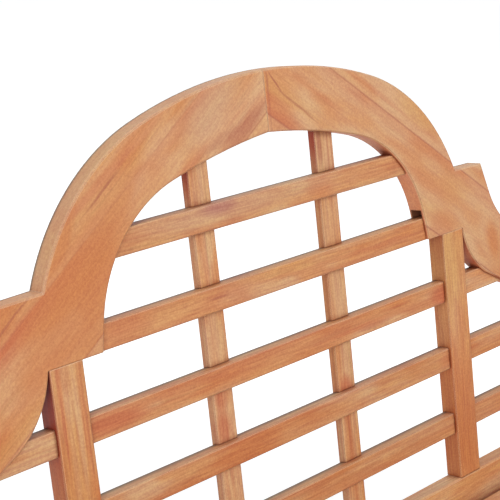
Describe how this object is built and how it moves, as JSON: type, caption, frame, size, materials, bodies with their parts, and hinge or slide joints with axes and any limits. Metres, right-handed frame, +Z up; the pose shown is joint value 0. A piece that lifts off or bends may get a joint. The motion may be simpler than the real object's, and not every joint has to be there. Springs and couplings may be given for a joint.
{
  "type": "garden bench",
  "caption": "Teak garden bench with an arched crest rail, an open slatted lattice back, a dished slatted seat and rolled arms, made of pegged mortise-and-tenon joinery.",
  "frame": {"origin": "middle of the bench's footprint, on the floor that the four feet stand on", "axes": "+X along the bench to the right as seen from the front, -Y out of the front of the seat, +Z up"},
  "size_m": [1.5, 0.6197, 1.0647],
  "materials": {
    "crest_teak": "sanded, lightly oiled teak with diagonal grain",
    "frame_teak": "sanded, lightly oiled teak",
    "slat_teak": "sanded, lightly oiled teak, grain along the slat",
    "plug_teak": "end grain of teak, sanded flush",
    "screw_metal": "plain stainless wood screws"
  },
  "bodies": {
    "root": {"arch_slat_lower": "slat_teak", "arch_slat_upper": "slat_teak", "arch_upright_left": "slat_teak", "arch_upright_right": "slat_teak", "arm_dowels": "plug_teak", "arm_scroll_front_left": "frame_teak", "arm_scroll_front_right": "frame_teak", "arm_scroll_rear_left": "frame_teak", "arm_scroll_rear_right": "frame_teak", "arm_slat_left_1": "slat_teak", "arm_slat_left_2": "slat_teak", "arm_slat_left_3": "slat_teak", "arm_slat_left_4": "slat_teak", "arm_slat_left_5": "slat_teak", "arm_slat_right_1": "slat_teak", "arm_slat_right_2": "slat_teak", "arm_slat_right_3": "slat_teak", "arm_slat_right_4": "slat_teak", "arm_slat_right_5": "slat_teak", "back_rail": "frame_teak", "centre_bearer": "frame_teak", "crest_dowels": "plug_teak", "crest_left": "crest_teak", "crest_right": "crest_teak", "front_leg_left": "frame_teak", "front_leg_right": "frame_teak", "front_seat_rail": "frame_teak", "joint_pegs": "plug_teak", "lattice_slat_lower": "slat_teak", "lattice_slat_middle": "slat_teak", "lattice_slat_upper": "slat_teak", "outer_upright_left": "slat_teak", "outer_upright_right": "slat_teak", "rear_leg_left": "frame_teak", "rear_leg_right": "frame_teak", "rear_seat_rail": "frame_teak", "seat_plugs": "plug_teak", "seat_screws": "screw_metal", "seat_slat_1": "slat_teak", "seat_slat_2": "slat_teak", "seat_slat_3": "slat_teak", "seat_slat_4": "slat_teak", "seat_slat_5": "slat_teak", "seat_slat_6": "slat_teak", "seat_slat_7": "slat_teak", "side_seat_rail_left": "frame_teak", "side_seat_rail_right": "frame_teak", "side_slat_left_lower": "slat_teak", "side_slat_left_middle": "slat_teak", "side_slat_left_upper": "slat_teak", "side_slat_right_lower": "slat_teak", "side_slat_right_middle": "slat_teak", "side_slat_right_upper": "slat_teak", "side_stretcher_left": "frame_teak", "side_stretcher_right": "frame_teak", "stile_left": "frame_teak", "stile_right": "frame_teak"}
  },
  "joints": []
}
